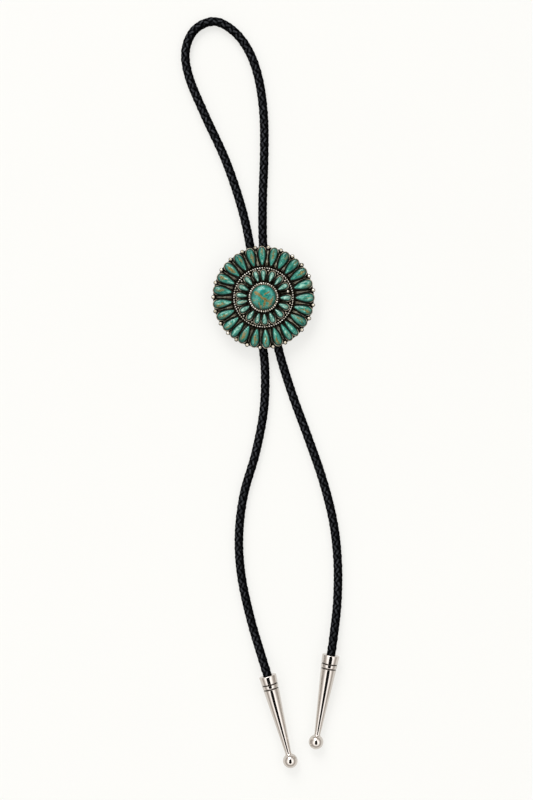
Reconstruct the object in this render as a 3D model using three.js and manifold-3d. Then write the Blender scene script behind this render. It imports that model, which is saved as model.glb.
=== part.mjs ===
// A bolo tie laid out flat on a table, in millimetres.
// A braided leather cord runs from one metal tip, through a clip, round the neck loop,
// back through the clip and down to the other tip. The clip is fixed under a round
// silver setting that holds a cluster of turquoise stones in three rows.
// The origin is on the table under the middle of the setting. +Z is up, +Y points from
// the setting to the neck loop, and a turn is in degrees, clockwise from +Y seen from above.

import * as THREE from "three";
import { ConvexGeometry } from "three/addons/geometries/ConvexGeometry.js";
import { mergeVertices } from "three/addons/utils/BufferGeometryUtils.js";
import Module from "manifold-3d";

const wasm = await Module();
wasm.setup();

// Driving dimensions
const GAP = 0.15; // between pieces that touch on the real object
const CORD_RADIUS = 2.5;

// The clip: one block with a tunnel for each run of the cord
const CLIP = { length: 20, wall: 0.8, spacing: 8.4, tunnelRadius: 2.9, turn: -7, height: 7 };

// The setting, soldered from a back plate, bezels, wires and beads
const PLATE = { bottom: CLIP.height + GAP, thickness: 1.2, radius: 29.6 };
const PLATE_TOP = PLATE.bottom + PLATE.thickness;
const BEZEL_WALL = 0.35;
const ROPE_RING = { radius: 17.6, wire: 0.5, above: 0.4 };
const CENTRE_RING = { radius: 8.4, wire: 0.6, above: 1.3 };
const RIM_BEAD = { radius: 1.05, at: 30, above: 0.75, narrowestGap: 11 };
const GAP_BEAD = { radius: 1.0, at: 15, above: 0.6, turn: 76.5 };
const WEDGE = { from: 19.3, to: 27.8, innerWidth: 1.3, outerWidth: 0.7, above: 0.8 };

// The stones: each row of drops points its narrow end at the middle
const CENTRE_STONE = { radius: 7.35, girdle: 1.9, crown: 2.5 };
const OUTER_ROW = { from: 19.2, to: 30.1, bezel: 1.5, girdle: 1.6, crown: 1.45, steps: 6 };
const INNER_ROW = { from: 10, to: 16.3, bezel: 1.3, girdle: 1.4, crown: 1.2, steps: 4 };

// Where the stones sit, clockwise from the top of the setting, and how wide each one is
const OUTER_STONES = [
  { turn: -2, width: 4.5 },
  { turn: 13.2, width: 4.6 },
  { turn: 27.8, width: 5.0 },
  { turn: 42.5, width: 5.0 },
  { turn: 57, width: 5.2 },
  { turn: 73, width: 5.3 },
  { turn: 90.5, width: 5.3 },
  { turn: 107, width: 5.2 },
  { turn: 122.5, width: 5.2 },
  { turn: 137.8, width: 3.7 },
  { turn: 147, width: 4.0 },
  { turn: 161.5, width: 5.0 },
  { turn: 176.6, width: 4.6 },
  { turn: 191.3, width: 4.8 },
  { turn: 206.8, width: 4.9 },
  { turn: 218.7, width: 4.2 },
  { turn: 231.2, width: 4.7 },
  { turn: 246, width: 5.0 },
  { turn: 261.6, width: 5.3 },
  { turn: 279, width: 5.3 },
  { turn: 295, width: 5.1 },
  { turn: 311, width: 4.9 },
  { turn: 327, width: 4.9 },
  { turn: 343, width: 4.8 },
];
const INNER_STONES = [
  { turn: -0.5, width: 3.0 },
  { turn: 21, width: 3.2 },
  { turn: 41.8, width: 3.1 },
  { turn: 62.3, width: 3.3 },
  { turn: 91.5, width: 3.4 },
  { turn: 113.5, width: 3.3 },
  { turn: 135.6, width: 3.3 },
  { turn: 158, width: 3.3 },
  { turn: 177, width: 3.2 },
  { turn: 195.3, width: 3.1 },
  { turn: 215.6, width: 3.0 },
  { turn: 238, width: 3.2 },
  { turn: 257.5, width: 3.0 },
  { turn: 275, width: 2.9 },
  { turn: 295, width: 3.2 },
  { turn: 317.8, width: 3.1 },
  { turn: 341.3, width: 3.0 },
];

// The tips: a cap with two grooves, a long cone and a ball, turned about their own axis
const TIP = { capRadius: 5.2, ballRadius: 4.4, ballAt: 53, neckRadius: 1.75, boreRadius: 2.9 };
const TIP_MOUTH_LEFT = new THREE.Vector3(2.4, -226.1, TIP.capRadius);
const TIP_BALL_LEFT = new THREE.Vector3(16.1, -277.4, TIP.ballRadius);
const TIP_MOUTH_RIGHT = new THREE.Vector3(40.4, -213.8, TIP.capRadius);
const TIP_BALL_RIGHT = new THREE.Vector3(31.5, -265.9, TIP.ballRadius);

// The middle of the cord, from inside the left tip, through the clip and round the neck
// loop, to inside the right tip
const CORD_ROUTE = [
  [4.9, -235.6, 5.3],
  [2.4, -226.1, 5.1],
  [-0.9, -215.6, 4],
  [-7.6, -193, 2.6],
  [-13.2, -167, 2.6],
  [-14.7, -143, 2.6],
  [-11.8, -118, 2.6],
  [-4.7, -93, 2.6],
  [0.2, -67, 2.6],
  [0.9, -42, 2.6],
  [-1.5, -22, 2.9],
  [-2.95, -10.4, 3.5],
  [-5.4, 9.4, 3.5],
  [-7.5, 28, 2.7],
  [-12.8, 53, 2.6],
  [-22.5, 82, 2.6],
  [-35.3, 110, 2.6],
  [-44.6, 132.5, 2.6],
  [-46.7, 148.5, 2.6],
  [-41.1, 161, 2.6],
  [-29.5, 165.9, 2.6],
  [-17.8, 160, 2.6],
  [-8.7, 148, 2.6],
  [-2.9, 131.5, 2.6],
  [0.1, 110, 2.6],
  [0.4, 85, 2.6],
  [-0.5, 56, 2.6],
  [-0.1, 30, 2.7],
  [2.95, 10.4, 3.5],
  [5.4, -9.4, 3.5],
  [9.1, -31, 2.7],
  [17, -57, 2.6],
  [26.5, -83, 2.6],
  [35.5, -109, 2.6],
  [41.8, -134, 2.6],
  [44.5, -158, 2.6],
  [44.3, -182, 2.6],
  [42.1, -202.3, 4],
  [40.4, -213.8, 5.1],
  [38.8, -223.3, 5.3],
];
const CORD_STEPS = 120;
const CORD_SIDES = 8;

// Finishes
const METAL = { metalness: 1, roughness: 0.35 };
const silver = new THREE.MeshStandardMaterial({ color: "#8d877c", ...METAL });
const plated = new THREE.MeshStandardMaterial({ color: "#d9d3cc", metalness: 1, roughness: 0.12 });
const turquoise = new THREE.MeshStandardMaterial({ color: "#3f9c8b", roughness: 0.3 });
const leather = new THREE.MeshStandardMaterial({ color: "#16171a", roughness: 0.55 });

// Solids in and out of manifold-3d, which joins and cuts them

function solidOf(geometry) {
  const bare = geometry.clone();
  bare.deleteAttribute("normal");
  bare.deleteAttribute("uv");
  const merged = mergeVertices(bare, 1e-4);
  return new wasm.Manifold(
    new wasm.Mesh({
      numProp: 3,
      vertProperties: new Float32Array(merged.attributes.position.array),
      triVerts: new Uint32Array(merged.index.array),
    }),
  );
}

function geometryOf(solid) {
  const mesh = solid.getMesh();
  return new THREE.BufferGeometry()
    .setAttribute("position", new THREE.BufferAttribute(mesh.vertProperties, 3))
    .setIndex(new THREE.BufferAttribute(mesh.triVerts, 1));
}

function joined(geometries) {
  return geometries.map(solidOf).reduce((whole, piece) => whole.add(piece));
}

// A point at a radius and a turn about the middle of the setting
function polar(radius, turn, z = 0) {
  const angle = THREE.MathUtils.degToRad(turn);
  return new THREE.Vector3(radius * Math.sin(angle), radius * Math.cos(angle), z);
}

// Half the width of a drop of width 1, at a share of its length from the narrow end
function dropHalfWidth(share) {
  return 0.5 * Math.sin(Math.PI * share ** 1.65) ** 0.4;
}

// The outline of a drop that points out along +Y, moved outwards by grow
function dropOutline(row, width, grow) {
  const length = row.to - row.from;
  const side = [];
  for (let i = 1; i < row.steps; i++) {
    const share = 0.5 - 0.5 * Math.cos((Math.PI * i) / row.steps);
    side.push(new THREE.Vector2(width * dropHalfWidth(share), row.from + length * share));
  }
  const left = side.map((p) => new THREE.Vector2(-p.x, p.y)).reverse();
  const ends = [new THREE.Vector2(0, row.from), new THREE.Vector2(0, row.to)];
  const points = [ends[0], ...side, ends[1], ...left];
  return points.map((p, i) => {
    const before = points.at(i - 1);
    const after = points[(i + 1) % points.length];
    const along = after.clone().sub(before).normalize();
    return new THREE.Vector2(p.x + grow * along.y, p.y - grow * along.x);
  });
}

// A straight-sided solid on an outline, turned about the middle of the setting
function prism(outline, turn, from, to) {
  const settings = { depth: to - from, bevelEnabled: false };
  return new THREE.ExtrudeGeometry(new THREE.Shape(outline), settings)
    .translate(0, 0, from)
    .rotateZ(-THREE.MathUtils.degToRad(turn));
}

function disc(radius, from, to, sides) {
  return new THREE.CylinderGeometry(radius, radius, to - from, sides)
    .rotateX(Math.PI / 2)
    .translate(0, 0, (from + to) / 2);
}

function wireRing(ring, sides) {
  return new THREE.TorusGeometry(ring.radius, ring.wire, 6, sides).translate(
    0,
    0,
    PLATE_TOP + ring.above,
  );
}

// A soldered bead: a ball on a short post that stands on the underside of the plate
function bead(size, turn) {
  const middle = polar(size.at, turn, PLATE_TOP + size.above);
  const ball = new THREE.SphereGeometry(size.radius, 8, 5).rotateX(Math.PI / 2);
  const post = disc(size.radius * 0.75, PLATE.bottom, middle.z, 6);
  ball.translate(middle.x, middle.y, middle.z);
  post.translate(middle.x, middle.y, 0);
  return [ball, post];
}

// The places half way between neighbouring stones of a row, where the gap is wide enough
function turnsBetween(stones, narrowestGap) {
  return stones.flatMap((stone, i) => {
    const next = stones[(i + 1) % stones.length].turn + (i + 1 === stones.length ? 360 : 0);
    return next - stone.turn < narrowestGap ? [] : [(stone.turn + next) / 2];
  });
}

// A flat wedge of silver between two stones of the outer row
function wedge(turn) {
  const outline = [
    [-WEDGE.innerWidth / 2, WEDGE.from],
    [WEDGE.innerWidth / 2, WEDGE.from],
    [WEDGE.outerWidth / 2, WEDGE.to],
    [-WEDGE.outerWidth / 2, WEDGE.to],
  ].map(([x, y]) => new THREE.Vector2(x, y));
  return prism(outline, turn, PLATE_TOP - 0.3, PLATE_TOP + WEDGE.above);
}

// The solid that a bezel is cut from, and the pocket that its stone drops into
function bezelBlock(row, stone, from) {
  const outline = dropOutline(row, stone.width, GAP + BEZEL_WALL);
  return prism(outline, stone.turn, from, PLATE_TOP + row.bezel);
}

function pocket(row, stone) {
  const outline = dropOutline(row, stone.width, GAP);
  return prism(outline, stone.turn, PLATE_TOP, PLATE_TOP + 2 * row.bezel);
}

function makeSetting() {
  const centreWall = CENTRE_STONE.radius + GAP + BEZEL_WALL;
  const centreTop = PLATE_TOP + CENTRE_STONE.girdle - 0.1;
  const solid = joined([
    disc(PLATE.radius, PLATE.bottom, PLATE_TOP, 60),
    disc(centreWall, PLATE_TOP - 0.3, centreTop, 30),
    wireRing(ROPE_RING, 40),
    wireRing(CENTRE_RING, 30),
    ...OUTER_STONES.map((stone) => bezelBlock(OUTER_ROW, stone, PLATE.bottom)),
    ...INNER_STONES.map((stone) => bezelBlock(INNER_ROW, stone, PLATE_TOP - 0.3)),
    ...turnsBetween(OUTER_STONES, RIM_BEAD.narrowestGap).flatMap((turn) => bead(RIM_BEAD, turn)),
    ...turnsBetween(OUTER_STONES, RIM_BEAD.narrowestGap).map(wedge),
    ...bead(GAP_BEAD, GAP_BEAD.turn),
  ]);
  const pockets = joined([
    disc(CENTRE_STONE.radius + GAP, PLATE_TOP, PLATE_TOP + 5, 30),
    ...OUTER_STONES.map((stone) => pocket(OUTER_ROW, stone)),
    ...INNER_STONES.map((stone) => pocket(INNER_ROW, stone)),
  ]);
  return new THREE.Mesh(geometryOf(solid.subtract(pockets)), silver);
}

// A polished drop: straight up to its girdle, then domed, lower at its narrow end
function makeDropStone(row, stone) {
  const bottom = PLATE_TOP + GAP;
  const girdle = PLATE_TOP + row.girdle;
  const outline = dropOutline(row, stone.width, 0);
  const points = outline.map((p) => new THREE.Vector3(p.x, p.y, bottom));
  for (const rise of [0, 35, 65, 90]) {
    const angle = THREE.MathUtils.degToRad(rise);
    for (const p of outline) {
      const share = (p.y - row.from) / (row.to - row.from);
      const inset = 0.5 * stone.width * (1 - Math.cos(angle));
      const y = THREE.MathUtils.clamp(p.y, row.from + inset, row.to - inset);
      const height = row.crown * Math.sin(angle) * Math.min(1, 0.35 + share);
      points.push(new THREE.Vector3(p.x * Math.cos(angle), y, girdle + height));
    }
  }
  const geometry = new ConvexGeometry(points);
  return new THREE.Mesh(geometry.rotateZ(-THREE.MathUtils.degToRad(stone.turn)), turquoise);
}

function makeCentreStone() {
  const { radius, girdle, crown } = CENTRE_STONE;
  const profile = [new THREE.Vector2(0, GAP), new THREE.Vector2(radius, GAP)];
  for (const rise of [0, 20, 40, 60, 78]) {
    const angle = THREE.MathUtils.degToRad(rise);
    const out = radius * Math.cos(angle);
    profile.push(new THREE.Vector2(out, girdle + crown * Math.sin(angle)));
  }
  profile.push(new THREE.Vector2(0, girdle + crown));
  const geometry = new THREE.LatheGeometry(profile, 30).rotateX(Math.PI / 2);
  return new THREE.Mesh(geometry.translate(0, 0, PLATE_TOP), turquoise);
}

// The clip: a flat-bottomed block with rounded corners and two tunnels, run along its axis
function makeClip() {
  const half = CLIP.spacing / 2 + CLIP.tunnelRadius + CLIP.wall;
  const corner = 2.2;
  const section = new THREE.Shape();
  section.absarc(half - corner, corner, corner, -Math.PI / 2, 0);
  section.absarc(half - corner, CLIP.height - corner, corner, 0, Math.PI / 2);
  section.absarc(corner - half, CLIP.height - corner, corner, Math.PI / 2, Math.PI);
  section.absarc(corner - half, corner, corner, Math.PI, 1.5 * Math.PI);
  for (const side of [-1, 1]) {
    const tunnel = new THREE.Path();
    tunnel.absarc((side * CLIP.spacing) / 2, CLIP.height / 2, CLIP.tunnelRadius, 0, 2 * Math.PI);
    section.holes.push(tunnel);
  }
  const settings = { depth: CLIP.length, bevelEnabled: false, curveSegments: 8 };
  const geometry = new THREE.ExtrudeGeometry(section, settings)
    .translate(0, 0, -CLIP.length / 2)
    .rotateX(Math.PI / 2)
    .rotateZ(-THREE.MathUtils.degToRad(CLIP.turn));
  return new THREE.Mesh(geometry, plated);
}

function makeCord() {
  const points = CORD_ROUTE.map((p) => new THREE.Vector3(...p));
  const route = new THREE.CatmullRomCurve3(points, false, "catmullrom", 0.5);
  const section = new THREE.Shape();
  section.absarc(0, 0, CORD_RADIUS, 0, 2 * Math.PI);
  const settings = { steps: CORD_STEPS, extrudePath: route, curveSegments: CORD_SIDES / 2 };
  return new THREE.Mesh(new THREE.ExtrudeGeometry(section, settings), leather);
}

// A tip is turned about +Y: the mouth for the cord is at 0 and the ball is at the far end
function makeTip(mouth, ball) {
  const profile = [
    [0, 11.5],
    [TIP.boreRadius, 11.5],
    [TIP.boreRadius, 0.4],
    [TIP.boreRadius + 0.5, 0],
    [TIP.capRadius - 0.4, 0],
    [TIP.capRadius, 0.5],
    [4.85, 5.1],
    [4.35, 5.4],
    [4.75, 5.8],
    [4.6, 7.8],
    [4.1, 8.1],
    [4.4, 8.5],
    [TIP.neckRadius, TIP.ballAt - TIP.ballRadius + 0.35],
  ];
  for (const rise of [-60, -35, -10, 15, 40, 65]) {
    const angle = THREE.MathUtils.degToRad(rise);
    const out = TIP.ballRadius * Math.cos(angle);
    profile.push([out, TIP.ballAt + TIP.ballRadius * Math.sin(angle)]);
  }
  profile.push([0, TIP.ballAt + TIP.ballRadius]);
  const points = profile.map(([x, y]) => new THREE.Vector2(x, y));
  const tip = new THREE.Mesh(new THREE.LatheGeometry(points, 20), plated);
  const along = ball.clone().sub(mouth).normalize();
  tip.quaternion.setFromUnitVectors(new THREE.Vector3(0, 1, 0), along);
  tip.position.copy(mouth);
  return tip;
}

function named(name, mesh) {
  mesh.name = name;
  return mesh;
}

const numbered = (name, i) => `${name}_${String(i + 1).padStart(2, "0")}`;

const medallion = new THREE.Group();
medallion.add(named("setting", makeSetting()));
medallion.add(named("centre_stone", makeCentreStone()));
OUTER_STONES.forEach((stone, i) => {
  medallion.add(named(numbered("outer_stone", i), makeDropStone(OUTER_ROW, stone)));
});
INNER_STONES.forEach((stone, i) => {
  medallion.add(named(numbered("inner_stone", i), makeDropStone(INNER_ROW, stone)));
});
medallion.add(named("clip", makeClip()));

const cordAndTips = new THREE.Group();
cordAndTips.add(named("cord", makeCord()));
cordAndTips.add(named("tip_left", makeTip(TIP_MOUTH_LEFT, TIP_BALL_LEFT)));
cordAndTips.add(named("tip_right", makeTip(TIP_MOUTH_RIGHT, TIP_BALL_RIGHT)));

const boloTie = new THREE.Group();
boloTie.add(medallion, cordAndTips);

export default boloTie;
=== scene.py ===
# %% [markdown]
# # A bolo tie, laid out flat
#
# A bolo tie is a braided cord with a metal tip on each end. The cord slides through a clip
# that sits behind an ornament, here a round silver setting with two rings of turquoise drops
# round a middle stone.
#
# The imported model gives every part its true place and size. This script keeps those places
# and gives each part the shape and finish that a maker would see close up. Lengths below are
# written in millimetres and multiplied by MM, because the scene itself is in metres.

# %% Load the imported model
import math
import random

import bmesh
import bpy
from mathutils import Matrix, Vector
from mathutils.geometry import interpolate_bezier


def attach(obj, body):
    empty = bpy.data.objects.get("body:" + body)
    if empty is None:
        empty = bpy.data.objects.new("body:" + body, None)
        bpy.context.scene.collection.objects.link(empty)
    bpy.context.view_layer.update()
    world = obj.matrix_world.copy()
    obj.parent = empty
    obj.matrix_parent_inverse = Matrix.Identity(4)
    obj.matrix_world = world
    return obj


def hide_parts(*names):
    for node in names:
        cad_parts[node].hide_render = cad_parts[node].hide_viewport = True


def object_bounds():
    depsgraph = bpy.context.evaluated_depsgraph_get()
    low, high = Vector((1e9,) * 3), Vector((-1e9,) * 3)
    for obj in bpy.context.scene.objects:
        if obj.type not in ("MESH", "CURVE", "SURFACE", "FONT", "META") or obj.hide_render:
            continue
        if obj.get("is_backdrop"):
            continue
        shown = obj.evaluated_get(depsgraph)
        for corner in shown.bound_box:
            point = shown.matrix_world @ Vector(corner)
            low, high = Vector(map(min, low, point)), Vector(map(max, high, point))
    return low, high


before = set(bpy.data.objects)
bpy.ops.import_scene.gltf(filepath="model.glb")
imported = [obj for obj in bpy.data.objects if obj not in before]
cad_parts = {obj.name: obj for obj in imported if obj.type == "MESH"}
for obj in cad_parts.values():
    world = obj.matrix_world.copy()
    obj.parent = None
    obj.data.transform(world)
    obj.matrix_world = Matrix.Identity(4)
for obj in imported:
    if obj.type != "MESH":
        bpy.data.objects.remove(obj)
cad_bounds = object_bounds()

MM = 0.001
print("solids in the frame:", len(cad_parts))

# %% [markdown]
# ## The camera
#
# The tie is seen from straight above, from a little over a metre away, with the neck loop at
# the top. A long lens keeps the round setting round. The view is 480 mm high where the cord
# lies, so the whole tie fits in it with a margin.

# %% Camera
VIEW_HEIGHT = 480 * MM
VIEW_CENTRE = (1.8 * MM, -61.2 * MM, 2.6 * MM)
LENS = 85
SENSOR = 36


def place_object(name, data):
    """Puts a new object that shows this data into the scene, at the origin."""
    made = bpy.data.objects.new(name, data)
    bpy.context.scene.collection.objects.link(made)
    return made


camera_data = bpy.data.cameras.new("camera")
camera_data.lens = LENS
camera_data.sensor_fit = "VERTICAL"
camera_data.sensor_height = SENSOR
camera = place_object("camera", camera_data)
camera_distance = VIEW_HEIGHT * LENS / SENSOR
camera.location = (VIEW_CENTRE[0], VIEW_CENTRE[1], VIEW_CENTRE[2] + camera_distance)
bpy.context.scene.camera = camera
print(f"camera {camera_distance:.3f} m above the cord")

# %% [markdown]
# ## Writing node trees as sums
#
# Materials and geometry trees are both graphs of nodes. Wiring them one node at a time hides
# the idea, so a Value wraps one output socket and the usual operators add Math nodes for it.
# A Graph adds every other kind of node with one method: its settings go in first, because
# they can change which sockets the node has, and then the values or links of its sockets.


# %% A small language for node trees
def both_ways(operation):
    """Two methods for a sum of two terms: with the Value on its left, and on its right."""
    return (
        lambda self, other: self.math(operation, self, other),
        lambda self, other: self.math(operation, other, self),
    )


class Value:
    """One output socket that can be used in a sum, with a number or another Value."""

    def __init__(self, graph, socket):
        self.graph = graph
        self.socket = socket

    def __getitem__(self, name):
        return Value(self.graph, self.socket.node.outputs[name])

    def math(self, operation, *terms):
        node = self.graph.tree.nodes.new("ShaderNodeMath")
        node.operation = operation
        for place, term in enumerate(terms):
            self.graph.plug(node.inputs[place], term)
        return Value(self.graph, node.outputs[0])

    __add__, __radd__ = both_ways("ADD")
    __sub__, __rsub__ = both_ways("SUBTRACT")
    __mul__, __rmul__ = both_ways("MULTIPLY")
    __truediv__, __rtruediv__ = both_ways("DIVIDE")
    __mod__ = both_ways("FLOORED_MODULO")[0]
    __pow__ = both_ways("POWER")[0]
    larger = both_ways("MAXIMUM")[0]
    smaller = both_ways("MINIMUM")[0]

    def __abs__(self):
        return self.math("ABSOLUTE", self)

    def floor(self):
        return self.math("FLOOR", self)

    def cos(self):
        return self.math("COSINE", self)

    def sin(self):
        return self.math("SINE", self)

    def step(self, low, high):
        """0 below low and 1 above high, with a smooth rise between. low may be the higher."""
        node = self.graph.tree.nodes.new("ShaderNodeMapRange")
        node.interpolation_type = "SMOOTHSTEP"
        self.graph.plug(node.inputs["Value"], self)
        self.graph.plug(node.inputs["From Min"], low)
        self.graph.plug(node.inputs["From Max"], high)
        return Value(self.graph, node.outputs["Result"])


class Graph:
    """A node tree that is being built."""

    def __init__(self, tree):
        self.tree = tree
        tree.nodes.clear()

    def plug(self, socket, term):
        if isinstance(term, Value):
            self.tree.links.new(term.socket, socket)
        else:
            socket.default_value = term

    def add(self, kind, settings=None, inputs=None):
        """Adds a node of that kind and returns its first output that is in use."""
        node = self.tree.nodes.new(kind)
        for name, setting in (settings or {}).items():
            setattr(node, name, setting)
        for name, term in (inputs or {}).items():
            self.plug(node.inputs[name], term)
        used = [socket for socket in node.outputs if socket.enabled]
        return Value(self, used[0]) if used else node

    def split(self, vector):
        """The X, Y and Z of a vector, each taken by its letter."""
        return self.add("ShaderNodeSeparateXYZ", {}, {"Vector": vector})

    def joined(self, x, y, z=0.0):
        return self.add("ShaderNodeCombineXYZ", {}, {"X": x, "Y": y, "Z": z})

    def vector(self, operation, *terms, scale=None):
        node = self.tree.nodes.new("ShaderNodeVectorMath")
        node.operation = operation
        for place, term in enumerate(terms):
            self.plug(node.inputs[place], term)
        if scale is not None:
            self.plug(node.inputs["Scale"], scale)
        return Value(self, next(socket for socket in node.outputs if socket.enabled))


# %% [markdown]
# ## Growing a piece from a rule
#
# Geometry Nodes suit what repeats or follows a path: the braid, the twisted wire, the beads
# and the thin silver strips. Each tree has named inputs for its sizes, and ends in Realize
# Instances and Set Material. Once a tree has run, the result is kept as a plain mesh, so that
# nothing in the finished piece depends on a live modifier.


# %% Trees with named inputs, and the plain mesh that they leave
def new_tree(name, sizes):
    """A geometry tree with a geometry input and one named input for each size."""
    tree = bpy.data.node_groups.new(name, "GeometryNodeTree")
    graph = Graph(tree)
    tree.interface.new_socket("Geometry", in_out="INPUT", socket_type="NodeSocketGeometry")
    for size_name, size in sizes.items():
        kind = "NodeSocketInt" if isinstance(size, int) else "NodeSocketFloat"
        socket = tree.interface.new_socket(size_name, in_out="INPUT", socket_type=kind)
        socket.default_value = size
    tree.interface.new_socket("Material", in_out="INPUT", socket_type="NodeSocketMaterial")
    tree.interface.new_socket("Geometry", in_out="OUTPUT", socket_type="NodeSocketGeometry")
    return graph, graph.add("NodeGroupInput")


def even_curve(graph, curve, count):
    """The curve in that many even steps, with normals that point up."""
    resample = {"Curve": curve, "Count": count}
    fine = graph.add("GeometryNodeResampleCurve", {"mode": "COUNT"}, resample)
    return graph.add("GeometryNodeSetCurveNormal", {"mode": "Z_UP"}, {"Curve": fine})


def copies_of(graph, curve, amount):
    copy = {"Geometry": curve, "Amount": amount}
    return graph.add("GeometryNodeDuplicateElements", {"domain": "SPLINE"}, copy)


def away_from_line(graph, angle):
    """The direction that leaves a curve at an angle round it, from its normal."""
    tangent = graph.add("GeometryNodeInputTangent")
    normal = graph.add("GeometryNodeInputNormal")
    side = graph.vector("CROSS_PRODUCT", tangent, normal)
    up_share = graph.vector("SCALE", normal, scale=angle.cos())
    return graph.vector("ADD", up_share, graph.vector("SCALE", side, scale=angle.sin()))


def stored(graph, geometry, name, term, kind="FLOAT"):
    """Stores a value on the points of a piece under a name."""
    store = {"Geometry": geometry, "Name": name, "Value": term}
    return graph.add("GeometryNodeStoreNamedAttribute", {"data_type": kind}, store)


def read_back(graph, name, kind="FLOAT"):
    return graph.add("GeometryNodeInputNamedAttribute", {"data_type": kind}, {"Name": name})


def circle(graph, sides, radius):
    return graph.add("GeometryNodeCurvePrimitiveCircle", {}, {"Resolution": sides, "Radius": radius})


def swept(graph, curve, section, capped=False):
    """The section drawn along the curve."""
    sweep = {"Curve": curve, "Profile Curve": section, "Fill Caps": capped}
    return graph.add("GeometryNodeCurveToMesh", {}, sweep)


def finish_tree(graph, given, mesh):
    """Closes a tree: smooth faces, the material and real geometry in place of instances."""
    real = graph.add("GeometryNodeRealizeInstances", {}, {"Geometry": mesh})
    smooth = graph.add("GeometryNodeSetShadeSmooth", {}, {"Geometry": real})
    dressed = {"Geometry": smooth, "Material": given["Material"]}
    result = graph.add("GeometryNodeSetMaterial", {}, dressed)
    graph.add("NodeGroupOutput", {}, {"Geometry": result})
    return graph.tree


def grow(name, source, tree, material, **sizes):
    """Runs a tree on a source piece and keeps the result as a plain mesh object."""
    modifier = source.modifiers.new("grow", "NODES")
    modifier.node_group = tree
    given = {**sizes, "Material": material}
    for item in tree.interface.items_tree:
        if item.in_out == "INPUT" and item.name in given:
            modifier[item.identifier] = given[item.name]
    return keep(name, evaluated_mesh(source))


def evaluated_mesh(source):
    """The plain mesh that a curve or a modifier makes. The source is taken away."""
    depsgraph = bpy.context.evaluated_depsgraph_get()
    mesh = bpy.data.meshes.new_from_object(source.evaluated_get(depsgraph))
    bpy.data.objects.remove(source)
    return mesh


def keep(name, mesh):
    """Puts a mesh into the scene and says how many triangles it has."""
    mesh.name = name
    piece = place_object(name, mesh)
    print(f"{name}: {sum(len(f.vertices) - 2 for f in mesh.polygons)} triangles")
    return piece


def dress(piece, material, sharp_above=None):
    """Gives a piece its material, and sharp edges where faces turn by more degrees than that."""
    piece.data.materials.append(material)
    if sharp_above:
        piece.data.set_sharp_from_angle(angle=math.radians(sharp_above))


def settle(piece, slot, *nodes):
    """A finished piece rides on the tie and stands for CAD solids, which it hides. The slot is not
    used.
    """
    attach(piece, "root")
    if nodes:
        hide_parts(*nodes)
    return piece


# %% [markdown]
# ## The cord's route
#
# The cord is one piece. It starts inside the left tip, runs up through the clip, round the
# neck loop, back down through the clip and ends inside the right tip. The same points shape
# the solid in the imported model. A smooth curve passes through all of them: at each point the
# handles lie along the line between its two neighbours.

# %% Route points and the curve through them
CURVE_STEPS = 24
PATH_STEPS = 12
CORD_ROUTE = [
    (4.9, -235.6, 5.3),
    (2.4, -226.1, 5.1),
    (-0.9, -215.6, 4),
    (-7.6, -193, 2.6),
    (-13.2, -167, 2.6),
    (-14.7, -143, 2.6),
    (-11.8, -118, 2.6),
    (-4.7, -93, 2.6),
    (0.2, -67, 2.6),
    (0.9, -42, 2.6),
    (-1.5, -22, 2.9),
    (-2.95, -10.4, 3.5),
    (-5.4, 9.4, 3.5),
    (-7.5, 28, 2.7),
    (-12.8, 53, 2.6),
    (-22.5, 82, 2.6),
    (-35.3, 110, 2.6),
    (-44.6, 132.5, 2.6),
    (-46.7, 148.5, 2.6),
    (-41.1, 161, 2.6),
    (-29.5, 165.9, 2.6),
    (-17.8, 160, 2.6),
    (-8.7, 148, 2.6),
    (-2.9, 131.5, 2.6),
    (0.1, 110, 2.6),
    (0.4, 85, 2.6),
    (-0.5, 56, 2.6),
    (-0.1, 30, 2.7),
    (2.95, 10.4, 3.5),
    (5.4, -9.4, 3.5),
    (9.1, -31, 2.7),
    (17, -57, 2.6),
    (26.5, -83, 2.6),
    (35.5, -109, 2.6),
    (41.8, -134, 2.6),
    (44.5, -158, 2.6),
    (44.3, -182, 2.6),
    (42.1, -202.3, 4),
    (40.4, -213.8, 5.1),
    (38.8, -223.3, 5.3),
]


def route_handles(points):
    """For each point, the handles before and after it, for one smooth curve."""
    first = 2 * points[0] - points[1]
    last = 2 * points[-1] - points[-2]
    padded = [first, *points, last]
    return [
        (here - (after - before) / 6, here + (after - before) / 6)
        for before, here, after in zip(padded, points, padded[2:])
    ]


route = [Vector(p) * MM for p in CORD_ROUTE]
handles = route_handles(route)

route_curve = bpy.data.curves.new("cord_route", "CURVE")
route_curve.dimensions = "3D"
route_curve.resolution_u = CURVE_STEPS
spline = route_curve.splines.new("BEZIER")
spline.bezier_points.add(len(route) - 1)
for knot, here, (before, after) in zip(spline.bezier_points, route, handles):
    knot.handle_left_type = "FREE"
    knot.handle_right_type = "FREE"
    knot.co = here
    knot.handle_left = before
    knot.handle_right = after

cord_path = [route[0]]
for i in range(len(route) - 1):
    leaving, arriving = handles[i][1], handles[i + 1][0]
    stretch = interpolate_bezier(route[i], leaving, arriving, route[i + 1], PATH_STEPS)
    cord_path += stretch[1:]
cord_length = sum((b - a).length for a, b in zip(cord_path, cord_path[1:]))
print(f"cord route {cord_length * 1000:.0f} mm, from {len(route)} points")

# %% [markdown]
# ## The braid
#
# A bolo cord is a round braid of twelve flat laces. Six wind one way and six the other, and
# each goes over one and under the next. Seen on the surface this gives rows of lozenges.
#
# One lace is the route moved out sideways: it turns about the route as it goes, and its
# distance from the middle rises and falls with the overs and unders. The tree makes twelve
# copies of the route, moves each one out, points its normal away from the middle so that the
# lace lies flat, and sweeps a thin curved section along it. A plain core fills the inside.


# %% Braid tree
CORE_STEPS = 400


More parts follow.
